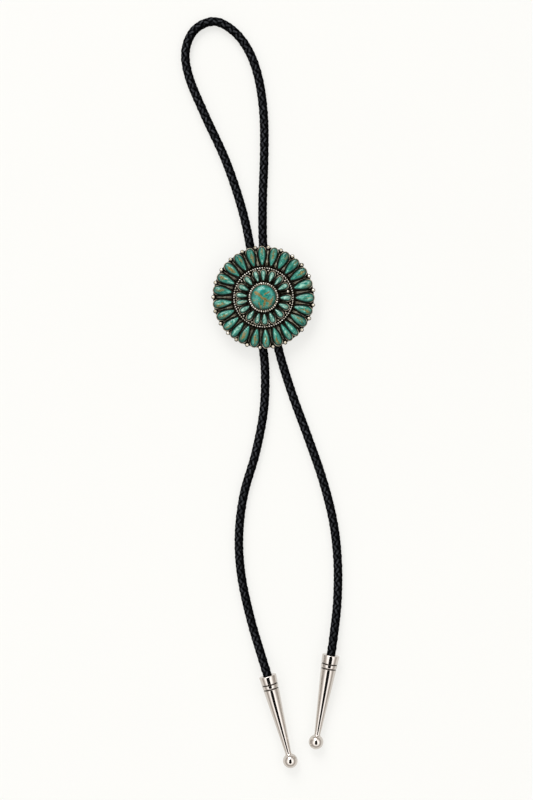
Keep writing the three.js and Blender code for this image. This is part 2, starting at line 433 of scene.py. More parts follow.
def lace_section(graph, given):
    """A flat pad that bends round the braid. It stores how far across each point is, -1 to 1."""
    ring = circle(graph, 6, 1.0)
    parts = graph.split(graph.add("GeometryNodeInputPosition"))
    half_width = given["Lace Width"] / 2
    bend = (parts["Y"] * half_width) ** 2 / (2.6 * given["Middle"])
    fullness = 1.6 - 0.6 * abs(parts["X"])
    height = parts["X"] * fullness * given["Lace Thickness"] / 2 - bend
    shaped = graph.joined(height, parts["Y"] * half_width)
    marked = stored(graph, ring, "across", parts["Y"])
    moved = {"Geometry": marked, "Position": shaped}
    return graph.add("GeometryNodeSetPosition", {}, moved)


def braid_tree():
    graph, given = new_tree(
        "round braid",
        {
            "Steps": 1150,
            "Laces": 12,
            "Pitch": 33 * MM,
            "Middle": 2.20 * MM,
            "Rise": 0.18 * MM,
            "Lace Width": 2.15 * MM,
            "Lace Thickness": 0.75 * MM,
            "Core Radius": 1.5 * MM,
            "Slow Twist": 300 * MM,
        },
    )
    upright = even_curve(graph, given["Geometry"], given["Steps"])
    copies = copies_of(graph, upright, given["Laces"])
    lace = copies["Duplicate Index"]
    hand = 1 - 2 * (lace % 2)
    length = graph.add("GeometryNodeSplineParameter")["Length"]
    turn = 2 * math.pi / given["Pitch"] * length
    start = (lace / 2).floor() * (4 * math.pi / given["Laces"])
    twist = 2 * math.pi / given["Slow Twist"] * length
    angle = hand * turn + start + twist + math.pi / given["Laces"]
    weave = (turn * given["Laces"] / 2).cos()
    rounded = weave * (1.5 - 0.5 * weave * weave)
    distance = given["Middle"] + hand * rounded * given["Rise"]

    for name, kind, term in (
        ("outward", "FLOAT_VECTOR", away_from_line(graph, angle)),
        ("along", "FLOAT", length),
        ("lace", "FLOAT", lace),
        ("over", "FLOAT", hand * rounded),
    ):
        copies = stored(graph, copies, name, term, kind)
    outward = read_back(graph, "outward", "FLOAT_VECTOR")
    away = graph.vector("SCALE", outward, scale=distance)
    moved = graph.add("GeometryNodeSetPosition", {}, {"Geometry": copies, "Offset": away})
    lie_flat = {"Curve": moved, "Normal": outward}
    flat = graph.add("GeometryNodeSetCurveNormal", {"mode": "FREE"}, lie_flat)
    laces = swept(graph, flat, lace_section(graph, given), capped=True)

    core_line = {"Curve": given["Geometry"], "Count": CORE_STEPS}
    coarse = graph.add("GeometryNodeResampleCurve", {"mode": "COUNT"}, core_line)
    core = swept(graph, coarse, circle(graph, 8, given["Core Radius"]), capped=True)
    both = graph.add("GeometryNodeJoinGeometry", {}, {"Geometry": laces})
    graph.tree.links.new(core.socket, both.socket.node.inputs["Geometry"])
    return finish_tree(graph, given, both)


# %% [markdown]
# ## Finish: black leather
#
# Leather lace is nearly black and takes a dull shine. Close up it has a fine pebbled grain
# and a few long creases. The rest of its pattern is painted light: a paler, greyer painted
# highlight along each lozenge on the side of the cord that faces up and a little to the left,
# painted shade on the flanks that face away, and painted shade in the gaps where one lace
# dips under the next. The lace's own marks, how far along and how far across, and the way
# it faces let the creases and the painted light follow each lace.


# %% Materials: start one, and black leather
def new_material(name):
    """An empty material, its graph, and the place of each point on the object."""
    material = bpy.data.materials.new(name)
    material.use_nodes = True
    graph = Graph(material.node_tree)
    place = graph.add("ShaderNodeTexCoord")["Object"]
    return material, graph, place


def mix(graph, share, low, high):
    """Colour low where share is 0 and colour high where it is 1."""
    node = graph.tree.nodes.new("ShaderNodeMix")
    node.data_type = "RGBA"
    graph.plug(node.inputs[0], share)
    for socket, colour in ((node.inputs[6], low), (node.inputs[7], high)):
        graph.plug(socket, colour if isinstance(colour, Value) else (*colour, 1))
    return Value(graph, node.outputs[2])


def noise(graph, place, size, detail=3.0, roughness=0.5):
    """Cloudy noise from 0 to 1, whose lumps are about size metres across."""
    inputs = {"Vector": place, "Scale": 1 / size, "Detail": detail, "Roughness": roughness}
    return graph.add("ShaderNodeTexNoise", {}, inputs)["Fac"]


def mark(graph, name):
    """A number stored on the piece's own points."""
    return graph.add("ShaderNodeAttribute", {"attribute_name": name})["Fac"]


def bump(graph, height, depth, strength=1.0):
    """A normal from a height of 0 to 1 that stands for depth metres."""
    inputs = {"Height": height, "Distance": depth, "Strength": strength}
    return graph.add("ShaderNodeBump", {}, inputs)


def finish_material(graph, **sockets):
    """Adds the shader. Words in the names are joined by underscores: Base_Color."""
    inputs = {name.replace("_", " "): term for name, term in sockets.items()}
    shader = graph.add("ShaderNodeBsdfPrincipled", {}, inputs)
    graph.add("ShaderNodeOutputMaterial", {}, {"Surface": shader})


# Painted light on the leather: black in painted shade, a paler grey as painted highlight, and the
# direction that the painted light comes from.
LEATHER_BLACK = (0.0006, 0.0006, 0.0008)
LEATHER_PAINTED_LIGHT = (0.054, 0.057, 0.065)
PAINTED_LIGHT_FROM = (-0.30, 0.12, 0.95)


def black_leather():
    material, graph, place = new_material("black_leather")
    across = mark(graph, "across")
    along = mark(graph, "along")
    lace = mark(graph, "lace")
    over = mark(graph, "over")
    grain = noise(graph, place, 0.35 * MM, 2.0, 0.6)
    crease = noise(graph, graph.joined(across * 5, along * 160, lace * 3.7), 1.0, 2.0)
    outward = graph.add("ShaderNodeAttribute", {"attribute_name": "outward"})["Vector"]
    # How squarely each point of a lace faces the painted light.
    painted_lit_side = graph.vector("DOT_PRODUCT", outward, PAINTED_LIGHT_FROM)
    off_middle = across * across
    # Painted shade in the gaps where a lace dips under the next, painted shade on the flanks, and a
    # painted highlight along each lozenge on the lit side. The creases only vary it.
    lozenge = over.step(-0.55, 0.05) * off_middle.step(0.85, 0.35)
    painted_highlight = over.step(-0.1, 0.6) * off_middle.step(0.45, 0.02) * painted_lit_side.step(0.66, 0.97)
    lit_side_tone = lozenge * painted_lit_side.step(0.25, 0.90) * (0.02 + 0.07 * crease)
    shade = lit_side_tone + painted_highlight * (0.12 + 0.85 * crease.step(0.35, 0.68))
    colour = mix(graph, shade, LEATHER_BLACK, LEATHER_PAINTED_LIGHT)
    height = grain * 0.5 + crease.step(0.35, 0.7) * 0.5
    finish_material(
        graph,
        Base_Color=colour,
        Roughness=0.30 + 0.14 * grain + 0.1 * crease,
        IOR=1.05,
        Normal=bump(graph, height, 0.06 * MM, 0.8),
    )
    return material


# %% [markdown]
# ## Grow the cord
#
# The braid tree runs once, on the route. Where the cord rests on the table its lowest laces
# are pressed flat, because soft leather gives a little under its own weight.

# %% Grow the cord
TABLE_GAP = 0.01 * MM

route_object = place_object("cord_route", route_curve)
cord_braid = grow("braided_cord", route_object, braid_tree(), black_leather())
pressed = 0
for vertex in cord_braid.data.vertices:
    if vertex.co.z < TABLE_GAP:
        vertex.co.z = TABLE_GAP
        pressed += 1
print(f"{pressed} points pressed flat where the cord rests on the table")
settle(cord_braid, "cord_leather", "cord")

# %% [markdown]
# ## Finish: silver, bright and dark
#
# Old silver is dipped to blacken it and then polished, so the black stays in every recess
# and the tops of beads and wires are bright again. A share from 0 to 1 says how bright a
# point is. It comes from the height above the back plate, broken up by cloudy noise, and it
# drives the colour, how metallic the surface is and how rough. Its heights are also set so
# that the tops of beads, wires and rays carry a bright painted highlight and their sides
# fall into painted shade.


# %% Silver
# Worn silver, and the black: blackened silver, which is also painted shade on beads, wires and rays.
DULL_SILVER = (0.27, 0.225, 0.13)
BLACKENED_AND_SHADED_SILVER = (0.0026, 0.0018, 0.0005)


def silver_finish(
    name, dark_below, bright_above, polish=1.0, tone=(0.66, 0.61, 0.54), lit=None, mirror=1.0
):
    """Silver that is black below one height and polished above another, in metres. The black is also
    painted shade, and the polished tops are also painted highlight.

    lit can give one more share of brightness, as a function of the graph and the place.
    polish says how bright the tops get, tone is their colour, and mirror how metallic they are.
    """
    material, graph, place = new_material(name)
    parts = graph.split(place)
    cloud = noise(graph, place, 1.6 * MM, 4.0, 0.6)
    speck = noise(graph, place, 0.3 * MM, 3.0, 0.7)
    reach = bright_above - dark_below
    lifted = parts["Z"] + (cloud - 0.5) * (0.9 * reach) + (speck - 0.5) * (0.5 * reach)
    bright = lifted.step(dark_below, bright_above) * polish
    if lit:
        bright = bright * lit(graph, parts)
    worn = mix(graph, cloud.step(0.25, 0.7), DULL_SILVER, tone)
    colour = mix(graph, bright, BLACKENED_AND_SHADED_SILVER, worn)
    finish_material(
        graph,
        Base_Color=colour,
        Metallic=bright * mirror,
        Roughness=0.5 - 0.28 * bright + 0.12 * speck,
        Specular_IOR_Level=0.0,
        Normal=bump(graph, speck, 0.04 * MM, 0.5),
    )
    return material


# %% [markdown]
# ## The layout of the setting
#
# Both rows of stones are drops that point their narrow end at the middle. Each is given by
# its turn, clockwise from the top, and its width, because a hand-made cluster is never
# quite even. The last four numbers describe the stone itself: how strong its brown vein is,
# how far along and how far to one side the vein lies, and how pale or dark the stone is.

# %% Sizes and stones
PLATE_BOTTOM = 7.15
PLATE_TOP = 8.35
PLATE_RADIUS = 30.1
GAP = 0.15
BEZEL_WALL = 0.35

OUTER_ROW = {"start": 19.2, "end": 30.1, "bezel": 1.5, "girdle": 1.6, "crown": 1.45}
INNER_ROW = {"start": 10.0, "end": 16.3, "bezel": 1.3, "girdle": 1.4, "crown": 1.2}

# turn, width, vein strength, vein along (0 narrow end, 1 round end), vein aside, tone
OUTER_STONES = [
    (-2, 4.5, 0.55, 0.80, 0.1, 0.1),
    (13.2, 4.6, 0.70, 0.62, -0.1, 0.2),
    (27.8, 5.0, 0.45, 0.88, 0.4, -0.5),
    (42.5, 5.0, 0.55, 0.90, 0.2, -0.3),
    (57, 5.2, 0.80, 0.75, 0.2, -0.2),
    (73, 5.3, 0.60, 0.85, 0.5, 0.4),
    (90.5, 5.3, 0.40, 0.75, 0.1, 0.2),
    (107, 5.2, 0.85, 0.65, 0.1, 0.1),
    (122.5, 5.2, 0.65, 0.50, -0.2, -0.5),
    (137.8, 3.7, 0.05, 0.50, 0.0, 0.2),
    (147, 4.0, 0.30, 0.72, 0.0, 0.3),
    (161.5, 5.0, 0.95, 0.72, 0.2, 0.0),
    (176.6, 4.6, 0.95, 0.65, 0.0, 0.4),
    (191.3, 4.8, 0.85, 0.60, 0.0, -0.3),
    (206.8, 4.9, 0.80, 0.60, 0.1, -0.2),
    (218.7, 4.2, 0.10, 0.50, 0.0, 0.1),
    (231.2, 4.7, 0.75, 0.75, -0.1, 0.1),
    (246, 5.0, 0.75, 0.62, -0.3, 0.1),
    (261.6, 5.3, 0.85, 0.65, -0.3, 0.3),
    (279, 5.3, 0.60, 0.65, 0.0, -0.2),
    (295, 5.1, 0.90, 0.68, 0.1, 0.3),
    (311, 4.9, 1.00, 0.58, 0.0, 0.3),
    (327, 4.9, 0.60, 0.65, 0.2, -0.4),
    (343, 4.8, 0.75, 0.45, 0.1, 0.2),
]
INNER_STONES = [
    (-0.5, 3.0, 0.05, 0.5, 0.0, 0.4),
    (21, 3.2, 0.15, 0.9, 0.2, 0.5),
    (41.8, 3.1, 0.35, 0.9, 0.0, 0.2),
    (62.3, 3.3, 0.15, 0.5, 0.0, 0.3),
    (91.5, 3.4, 0.25, 0.9, 0.0, 0.5),
    (113.5, 3.3, 0.35, 0.9, 0.0, 0.3),
    (135.6, 3.3, 0.10, 0.5, 0.0, 0.1),
    (158, 3.3, 0.10, 0.5, 0.0, 0.2),
    (177, 3.2, 0.25, 0.2, 0.0, 0.4),
    (195.3, 3.1, 0.30, 0.4, 0.0, 0.1),
    (215.6, 3.0, 0.20, 0.3, 0.0, 0.3),
    (238, 3.2, 0.20, 0.4, 0.0, 0.3),
    (257.5, 3.0, 0.45, 0.4, 0.0, 0.6),
    (275, 2.9, 0.25, 0.3, 0.0, 0.4),
    (295, 3.2, 0.25, 0.8, 0.2, 0.3),
    (317.8, 3.1, 0.30, 0.9, 0.0, 0.5),
    (341.3, 3.0, 0.10, 0.5, 0.0, 0.6),
]
CENTRE_RADIUS = 7.35


def polar(radius, turn, z=0.0):
    """A point in metres, from a radius and height in millimetres and a turn in degrees."""
    angle = math.radians(turn)
    return Vector((radius * math.sin(angle), radius * math.cos(angle), z)) * MM


def drop_half_width(share):
    """Half the width of a drop of width 1, at a share of its length from the narrow end."""
    return 0.5 * max(0.0, math.sin(math.pi * share**1.65)) ** 0.4


def drop_outline(row, width, grow_by, steps=22):
    """The outline of a drop that points out along +Y, moved outwards by grow_by."""
    length = row["end"] - row["start"]
    shares = [0.5 - 0.5 * math.cos(math.pi * i / steps) for i in range(1, steps)]
    side = [(width * drop_half_width(s), row["start"] + length * s) for s in shares]
    points = [(0, row["start"]), *side, (0, row["end"])]
    points += [(-x, y) for x, y in reversed(side)]
    grown_points = []
    for before, here, after in zip([points[-1]] + points, points, points[1:] + [points[0]]):
        along = Vector((after[0] - before[0], after[1] - before[1])).normalized()
        grown_points.append((here[0] + grow_by * along.y, here[1] - grow_by * along.x))
    return grown_points


def turned_point(x, y, z, turn):
    """A point drawn beside +Y, turned about the middle of the setting, in metres."""
    angle = math.radians(turn)
    across = x * math.cos(angle) + y * math.sin(angle)
    up = y * math.cos(angle) - x * math.sin(angle)
    return Vector((across, up, z)) * MM


def gaps(stones, narrowest):
    """The neighbouring pairs of a row, with the turn of the second one unwound."""
    pairs = []
    for stone, following in zip(stones, [*stones[1:], stones[0]]):
        unwound = following[0] + (360 if following[0] < stone[0] else 0)
        if unwound - stone[0] >= narrowest:
            pairs.append((stone, (unwound, *following[1:])))
    return pairs


def between(pair):
    """The turn half way between two neighbouring stones, in degrees."""
    first, second = pair
    return (first[0] + second[0]) / 2


NARROWEST_GAP = 11
outer_gaps = gaps(OUTER_STONES, NARROWEST_GAP)
inner_gaps = gaps(INNER_STONES, NARROWEST_GAP)
print(f"{len(OUTER_STONES)} outer stones, {len(INNER_STONES)} inner stones")

# %% [markdown]
# ## Shapes made of rings
#
# The plate, the stones, the rays and the tips are all rows of rings of points. A skin of
# four-sided faces joins each ring to the next, and the two ends are closed by one face or by
# a fan of triangles round a middle point.


# %% Skins, fans and finished meshes
def skin(shape, loops):
    """Joins each ring of points to the next one."""
    for low, high in zip(loops, loops[1:]):
        for i in range(len(low)):
            j = (i + 1) % len(low)
            shape.faces.new((low[i], low[j], high[j], high[i]))


def close_ends(shape, loops):
    shape.faces.new(loops[0])
    shape.faces.new(reversed(loops[-1]))


def fan(shape, loop, place):
    """Closes a ring with triangles round a point in its middle."""
    middle = shape.verts.new(place)
    for i in range(len(loop)):
        shape.faces.new((loop[i], loop[(i + 1) % len(loop)], middle))


def smooth_mesh(shape, name):
    """Points the faces outwards and hands the shape over as a smooth mesh."""
    bmesh.ops.recalc_face_normals(shape, faces=shape.faces)
    for face in shape.faces:
        face.smooth = True
    mesh = bpy.data.meshes.new(name)
    shape.to_mesh(mesh)
    shape.free()
    return mesh


def finished_mesh(shape, name):
    """A smooth mesh whose points in the same place are made one."""
    bmesh.ops.remove_doubles(shape, verts=shape.verts, dist=1e-6)
    return smooth_mesh(shape, name)


def store_on_points(mesh, name, values, kind="FLOAT"):
    """Stores one number on each point of a mesh, or three for a vector."""
    attribute = mesh.attributes.new(name, kind, "POINT")
    attribute.data.foreach_set("vector" if kind == "FLOAT_VECTOR" else "value", values)


def store_by_place(mesh, name, rule):
    """Stores a number on each point that is worked out from where the point is."""
    store_on_points(mesh, name, [rule(vertex.co) for vertex in mesh.vertices])


# %% [markdown]
# ## The back plate
#
# Everything is soldered to one sheet of silver. Its edge was sawn round the outer bezels and
# beads, which leaves a scalloped outline. For each direction the edge lies as far out as the
# furthest of the disc, the round end of a bezel and a bead, and a small bevel softens it.


# %% Plate
RIM_BEAD = {"radius": 1.16, "at": 30.0, "above": 0.75}
BEAD_SEAT = 0.85
BEZEL_END_RADIUS = 0.44
PLATE_STEPS = 480


def circle_reach(distance, radius, offset):
    """How far out a circle reaches in a direction that misses its middle by an angle."""
    miss = distance * math.sin(offset)
    if abs(miss) >= radius or math.cos(offset) < 0:
        return 0.0
    return distance * math.cos(offset) + math.sqrt(radius**2 - miss**2)


def plate_edge(turn):
    """The plate's radius in one direction, in millimetres."""
    reach = PLATE_RADIUS
    for stone in OUTER_STONES:
        radius = BEZEL_END_RADIUS * stone[1] + GAP + BEZEL_WALL
        distance = OUTER_ROW["end"] + GAP + BEZEL_WALL - radius
        reach = max(reach, circle_reach(distance, radius, math.radians(turn - stone[0])))
    for pair in outer_gaps:
        middle = math.radians(turn - between(pair))
        seat = RIM_BEAD["radius"] * BEAD_SEAT
        reach = max(reach, circle_reach(RIM_BEAD["at"], seat, middle))
    return reach


def plate_mesh():
    turns = [360 * i / PLATE_STEPS for i in range(PLATE_STEPS)]
    reach = [plate_edge(turn) for turn in turns]
    soft = 0.12
    flat_shares = (0.3, 0.6, 0.9)
    inner_reach = 29
    shape = bmesh.new()

    def ring(z, radii):
        return [shape.verts.new(polar(r, t, z)) for r, t in zip(radii, turns)]

    def flat_ring(z, share):
        return ring(z, [share * inner_reach] * len(turns))

    edge = [
        ring(z, [r + out for r in reach])
        for z, out in (
            (PLATE_BOTTOM, -soft),
            (PLATE_BOTTOM + soft, 0),
            (PLATE_TOP - soft, 0),
            (PLATE_TOP, -soft),
        )
    ]
    top = [flat_ring(PLATE_TOP, share) for share in reversed(flat_shares)]
    bottom = [flat_ring(PLATE_BOTTOM, share) for share in flat_shares]
    loops = bottom + edge + top
    skin(shape, loops)
    fan(shape, loops[0], (0, 0, PLATE_BOTTOM * MM))
    fan(shape, loops[-1], (0, 0, PLATE_TOP * MM))
    return finished_mesh(shape, "plate")


plate_silver = silver_finish("plate_silver", 8.2 * MM, 9.6 * MM, polish=0.25)
plate = keep("silver_plate", plate_mesh())
dress(plate, plate_silver, 40)
settle(plate, "silver", "setting")

# %% [markdown]
# ## Bezels
#
# A bezel is a thin strip of silver bent round a stone, soldered to the plate and pushed over
# the stone's edge to hold it. Each one is the stone's outline moved out a little. The tree
# sweeps one small rounded rectangle along all the outlines at once.


# %% Bezel strip tree
def strip_tree():
    graph, given = new_tree(
        "strip on edge", {"Wall": 0.35 * MM, "Height": 1.5 * MM, "Rounding": 0.12 * MM}
    )
    stand_up = {"Curve": given["Geometry"]}
    upright = graph.add("GeometryNodeSetCurveNormal", {"mode": "Z_UP"}, stand_up)
    sheet = graph.add(
        "GeometryNodeCurvePrimitiveQuadrilateral",
        {"mode": "RECTANGLE"},
        {"Width": given["Wall"], "Height": given["Height"]},
    )
    soften = {"Curve": sheet, "Radius": given["Rounding"], "Count": 2, "Limit Radius": True}
    rounded = graph.add("GeometryNodeFilletCurve", {"mode": "POLY"}, soften)
    return finish_tree(graph, given, swept(graph, upright, rounded))


def add_closed_lines(curve, outlines):
    """Adds one closed straight-line spline to the curve for each outline of 3-D points."""
    for outline in outlines:
        line = curve.splines.new("POLY")
        line.points.add(len(outline) - 1)
        for point, place in zip(line.points, outline):
            point.co = (*place, 1)
        line.use_cyclic_u = True


def closed_curves(name, outlines):
    curve = bpy.data.curves.new(name, "CURVE")
    curve.dimensions = "3D"
    add_closed_lines(curve, outlines)
    return place_object(name, curve)


def bezel_lines(row, stones):
    """The middle line of each bezel's wall, half way up."""
    z = PLATE_TOP + row["bezel"] / 2
    lines = []
    for turn, width, *_ in stones:
        outline = drop_outline(row, width, GAP + BEZEL_WALL / 2)
        lines.append([turned_point(x, y, z, turn) for x, y in outline])
    return lines


def bright_ends_shaded_sides(graph, parts):
    """The bezels are bright near the outer end of each row, by distance from the middle, and dark
    elsewhere: painted shade along their sides between the stones.
    """
    radius = (parts["X"] ** 2 + parts["Y"] ** 2) ** 0.5
    in_outer_row = radius.step(27.0 * MM, 29.8 * MM)
    in_inner_row = radius.step(13.0 * MM, 15.6 * MM) * radius.step(18.5 * MM, 17.0 * MM)
    in_middle = radius.step(9.0 * MM, 8.2 * MM) * 0.2
    return 0.03 + 0.97 * (in_outer_row * 0.72 + in_inner_row * 0.62 + in_middle)


strips = strip_tree()
bezel_silver = silver_finish(
    "bezel_silver", 8.8 * MM, 9.6 * MM, tone=(0.86, 0.80, 0.64), lit=bright_ends_shaded_sides, mirror=0.3
)
for row_name, row, stones in (
    ("outer_bezels", OUTER_ROW, OUTER_STONES),
    ("inner_bezels", INNER_ROW, INNER_STONES),
):
    lines = closed_curves(row_name, bezel_lines(row, stones))
    sizes = {"Wall": BEZEL_WALL * MM, "Height": row["bezel"] * MM}
    bezels = grow("silver_" + row_name, lines, strips, bezel_silver, **sizes)
    settle(bezels, "silver")

# %% [markdown]
# ## Rays
#
# Tapered bars of silver fill the gaps between neighbouring stones. Each is as wide as the
# gap leaves room for at every distance from the middle, so it narrows where the stones are
# fat. The wide ones have a groove down the middle, like two wires laid side by side.


# %% Rays between the stones
ROPE_RADIUS = 17.6
OUTER_RAY = {"start": 19.1, "end": 28.2, "top": 9.45, "widest": 1.45}
INNER_RAY = {"start": 10.2, "end": 15.3, "top": 9.1, "widest": 1.0}
RAY_TAPER = 0.08
RAY_CLEARANCE = 0.8
RAY_THINNEST = 0.4
BRIGHTEST_RAYS_TURN = 24


def room_between(row, first, second, radius):
    """The free width between two stones' bezels at one radius, in millimetres."""
    length = row["end"] - row["start"]
    share = min(max((radius - row["start"]) / length, 0), 1)
    taken = (first[1] + second[1]) * drop_half_width(share)
    arc = math.radians(second[0] - first[0]) * radius
    return arc - taken - 2 * (GAP + BEZEL_WALL)


def add_ray(shape, row, first, second, start, end, top, widest):
    """One tapered bar with a groove, from one radius to another."""
    steps = 10
    across = [-1, -0.8, -0.45, -0.12, 0, 0.12, 0.45, 0.8, 1]
    turn = between((first, second))
    loops = []
    for i in range(steps + 1):
        radius = start + (end - start) * i / steps
        width = widest - (radius - start) * RAY_TAPER
        room = room_between(row, first, second, radius) - RAY_CLEARANCE
        width = max(min(width, room), RAY_THINNEST)
        grooved = min(max((width - 0.7) / 0.5, 0), 1)
        ease = math.sin(math.pi * min(max(i / steps, 0.06), 0.94)) ** 0.35
        loop = [turned_point(-width / 2, radius, PLATE_TOP, turn)]
        for u in across:
            hump = math.sqrt(max(0, 1 - (2 * abs(u) - 1) ** 2))
            single = math.sqrt(max(0, 1 - u * u))
            height = grooved * (0.35 + 0.65 * hump) + (1 - grooved) * (0.3 + 0.7 * single)
            z = PLATE_TOP + (top - PLATE_TOP) * height * ease
            loop.append(turned_point(u * width / 2, radius, z, turn))
        loop.append(turned_point(width / 2, radius, PLATE_TOP, turn))
        loops.append([shape.verts.new(p) for p in loop])
    skin(shape, loops)
    close_ends(shape, loops)


def rays_mesh():
    shape = bmesh.new()
    for pair in outer_gaps:
        add_ray(shape, OUTER_ROW, *pair, **OUTER_RAY)
    for pair in inner_gaps:
        add_ray(shape, INNER_ROW, *pair, **INNER_RAY)
    return finished_mesh(shape, "rays")


def ray_shine(place):
    """How bright a ray is. Those near the top of the setting are brightest, the others get a random
    brightness, and the inner row's are half of that.
    """
    radius = Vector((place.x, place.y)).length / MM
    turn = math.degrees(math.atan2(place.x, place.y)) % 360
    outer = radius > ROPE_RADIUS
    pairs = outer_gaps if outer else inner_gaps
    middles = [between(pair) % 360 for pair in pairs]
    nearest = min(middles, key=lambda middle: abs((turn - middle + 180) % 360 - 180))
    from_top = min(nearest, 360 - nearest)
    chance = random.Random(int(nearest * 10)).uniform(0.25, 0.6)
    if not outer:
        return chance * 0.5
    return 0.95 if from_top < BRIGHTEST_RAYS_TURN else chance


rays = keep("silver_rays", rays_mesh())
store_by_place(rays.data, "shine", ray_shine)
ray_silver = silver_finish(
    "ray_silver",
    8.75 * MM,
    9.3 * MM,
    tone=(0.74, 0.70, 0.56),
    lit=lambda graph, _: mark(graph, "shine"),
)
dress(rays, ray_silver)
settle(rays, "silver")

# %% [markdown]
# ## Twisted wire
#
# A ring of two wires twisted together divides the two rows of stones. Each wire is the ring
# moved sideways by the wire's own radius, at an angle that makes a whole number of turns
# round the ring, so the ends meet.


# %% Twisted wire tree
ROPE_HEIGHT = 8.85


def twist_tree():
    graph, given = new_tree(
        "twisted wire",
        {"Turns": 39, "Wires": 2, "Wire Radius": 0.31 * MM, "Twist Radius": 0.31 * MM},
    )
    upright = even_curve(graph, given["Geometry"], given["Turns"] * 10)
    wires = copies_of(graph, upright, given["Wires"])
    share = graph.add("GeometryNodeSplineParameter")["Factor"]
    angle = 2 * math.pi * (share * given["Turns"] + wires["Duplicate Index"] / given["Wires"])
    away = graph.vector("SCALE", away_from_line(graph, angle), scale=given["Twist Radius"])
    marked = stored(graph, wires, "lift", 0.5 - 0.5 * angle.sin())
    moved = graph.add("GeometryNodeSetPosition", {}, {"Geometry": marked, "Offset": away})
    return finish_tree(graph, given, swept(graph, moved, circle(graph, 8, given["Wire Radius"])))


def ring_line(radius, z, steps=180):
    return [polar(radius, 360 * i / steps, z) for i in range(steps)]


rope_line = closed_curves("rope_line", [ring_line(ROPE_RADIUS, ROPE_HEIGHT)])
# Painted highlight: only the topmost part of each turn of wire is bright. The rest is blackened
# silver and painted shade.
rope_silver = silver_finish(
    "rope_silver",
    8.5 * MM,
    9.0 * MM,
    tone=(1.0, 0.96, 0.88),
    lit=lambda graph, _: mark(graph, "lift").step(0.84, 0.97),
    mirror=0.6,
)
rope = grow("silver_rope_ring", rope_line, twist_tree(), rope_silver)
settle(rope, "silver")

# %% [markdown]
# ## Beads
#
# Solid silver beads sit in the scallops of the rim, a ring of small ones circles the middle
# stone, and single grains mark the gaps of the inner row. A loose mesh of points holds the
# middle of each bead and its radius, and the tree puts a ball on every point. Each ball is
# squashed slightly and at random, as a melted grain of silver is.


# %% Bead tree
def bead_tree():
    graph, given = new_tree("beads", {"Unevenness": 0.06, "Seed": 4})
    ball = graph.add("GeometryNodeMeshIcoSphere", {}, {"Radius": 1.0, "Subdivisions": 3})
    size = read_back(graph, "bead_radius")
    wobble = graph.add(
        "FunctionNodeRandomValue", {"data_type": "FLOAT_VECTOR"}, {"Seed": given["Seed"]}
    )
    centred = graph.vector("SUBTRACT", wobble, (0.5, 0.5, 0.5))
    uneven = graph.vector("SCALE", centred, scale=given["Unevenness"] * 2)
    shape = graph.vector("ADD", uneven, (1, 1, 1))
    scale = graph.vector("SCALE", shape, scale=size)
    lay = {"Points": given["Geometry"], "Instance": ball, "Scale": scale}
    beads = graph.add("GeometryNodeInstanceOnPoints", {}, lay)
    return finish_tree(graph, given, beads)


def bead_points(name, beads):
    """A mesh of loose points with a radius stored on each: (middle, radius) in metres."""
    mesh = bpy.data.meshes.new(name)
    mesh.from_pydata([middle for middle, _ in beads], [], [])
    store_on_points(mesh, "bead_radius", [radius for _, radius in beads])
    return place_object(name, mesh)


def bead(kind, turn):
    """The middle and the radius of one bead, in metres."""
    return polar(kind["at"], turn, PLATE_TOP + kind["above"]), kind["radius"] * MM


CENTRE_RING = {"beads": 40, "at": 8.4, "above": 1.3, "radius": 0.64}
GRAIN = {"at": 16.25, "above": 0.35, "radius": 0.52, "widest_gap": 28}
LONE_BEAD = {"at": 15, "turn": 76.5, "above": 0.6, "radius": 1.0}

rim_beads = [bead(RIM_BEAD, between(pair)) for pair in outer_gaps]
ring_turns = [360 * i / CENTRE_RING["beads"] for i in range(CENTRE_RING["beads"])]
ring_beads = [bead(CENTRE_RING, turn) for turn in ring_turns]
narrow = [(a, b) for a, b in inner_gaps if b[0] - a[0] < GRAIN["widest_gap"]]
grains = [bead(GRAIN, between(pair)) for pair in narrow]
grains.append(bead(LONE_BEAD, LONE_BEAD["turn"]))

balls = bead_tree()
# Each bead is bright only near its top: a painted highlight, with blackened silver and painted shade
# on its sides.
ring_silver = silver_finish("ring_silver", 9.95 * MM, 10.3 * MM, tone=(0.92, 0.87, 0.79))
grain_silver = silver_finish("grain_silver", 8.5 * MM, 9.1 * MM, tone=(0.80, 0.74, 0.66))
rim_silver = silver_finish(
    "rim_silver", 9.65 * MM, 10.2 * MM, tone=(0.84, 0.78, 0.68), mirror=0.7
)
for bead_name, beads, finish in (
    ("silver_rim_beads", rim_beads, rim_silver),
    ("silver_beaded_ring", ring_beads, ring_silver),
    ("silver_grains", grains, grain_silver),
):
    made = grow(bead_name, bead_points(bead_name, beads), balls, finish)
    settle(made, "silver")

# %% [markdown]
# ## The middle bezel
#
# The round stone has a taller bezel of its own, which the beaded ring leans against. It is
# the same strip as the others, swept round a circle.

# %% Middle bezel
CENTRE_BEZEL = 1.8
centre_wall = ring_line(CENTRE_RADIUS + GAP + BEZEL_WALL / 2, PLATE_TOP + CENTRE_BEZEL / 2, 96)
centre_line = closed_curves("centre_line", [centre_wall])
centre_sizes = {"Wall": BEZEL_WALL * MM, "Height": CENTRE_BEZEL * MM}
centre_bezel = grow("silver_centre_bezel", centre_line, strips, bezel_silver, **centre_sizes)
settle(centre_bezel, "silver")
